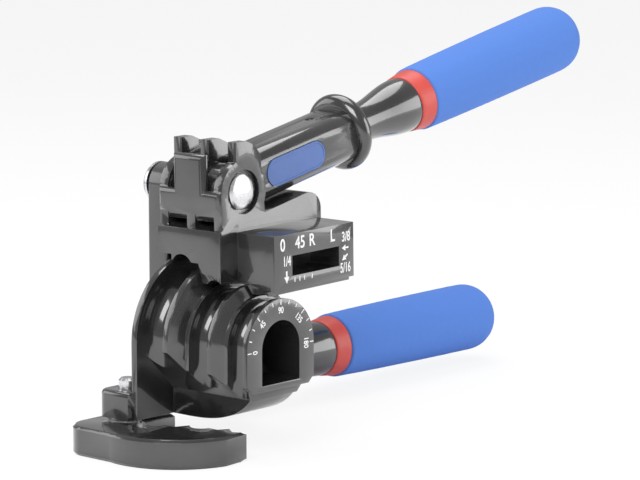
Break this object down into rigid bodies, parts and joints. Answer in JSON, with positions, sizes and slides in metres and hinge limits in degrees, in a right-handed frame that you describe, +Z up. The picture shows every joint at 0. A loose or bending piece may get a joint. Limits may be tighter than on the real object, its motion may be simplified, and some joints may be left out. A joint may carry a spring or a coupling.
{
  "type": "lever tube bender",
  "caption": "Hand lever tube bender with a stepped grooved die, swinging forming shoe, angle scale, tube latch and foam-gripped handles.",
  "frame": {"origin": "on the plane of the latch underside, under the middle of the whole tool", "axes": "+X along the lower handle, -Y the way the scale face looks, +Z up from the latch to the main pin"},
  "size_m": [0.2386, 0.0684, 0.1346],
  "materials": {
    "black_casting": "gloss black",
    "black_steel": "satin black",
    "bright_steel": "zinc plated",
    "spring_steel": "blued",
    "red_plastic": "satin",
    "blue_foam": "fine foam",
    "blue_badge": "satin",
    "white_marks": "matt paint"
  },
  "bodies": {
    "die": {"die_body": "black_casting", "die_pivot_pin": "bright_steel", "die_pin_clip": "spring_steel", "die_pin_washer": "bright_steel", "arm_spacer": "bright_steel", "latch_pin": "bright_steel", "latch_clip": "spring_steel", "lower_ferrule": "black_casting", "lower_handle_rod": "bright_steel", "lower_red_ring": "red_plastic", "lower_foam_grip": "blue_foam", "lower_roll_pin": "spring_steel"},
    "arm": {"link_arm": "black_steel", "main_pin": "bright_steel", "main_pin_washer": "bright_steel", "main_pin_clip": "spring_steel"},
    "shoe": {"forming_shoe": "black_casting"},
    "lever": {"lever_block": "black_casting", "badge_plate": "blue_badge", "upper_ferrule": "black_casting", "upper_handle_rod": "bright_steel", "upper_red_ring": "red_plastic", "upper_foam_grip": "blue_foam", "upper_roll_pin": "spring_steel"},
    "latch": {"tube_latch": "black_casting", "latch_washer": "bright_steel"}
  },
  "joints": [
    {"name": "bend_swing", "type": "hinge", "parent": "die", "child": "arm", "pos_m": [-0.07424, -0.00433, 0.0353], "axis": [0, 1, 0], "range_deg": [-90, 90]},
    {"name": "shoe_rock", "type": "hinge", "parent": "arm", "child": "shoe", "pos_m": [-0.07424, -0.00433, 0.0845], "axis": [0, 1, 0], "range_deg": [0, 1.2]},
    {"name": "lever_raise", "type": "hinge", "parent": "arm", "child": "lever", "pos_m": [-0.07424, -0.00433, 0.0845], "axis": [0, -1, 0], "range_deg": [0, 75]},
    {"name": "latch_swing", "type": "hinge", "parent": "die", "child": "latch", "pos_m": [-0.09724, 0.01277, 0.0097], "axis": [0, 0, -1], "range_deg": [0, 75]}
  ]
}
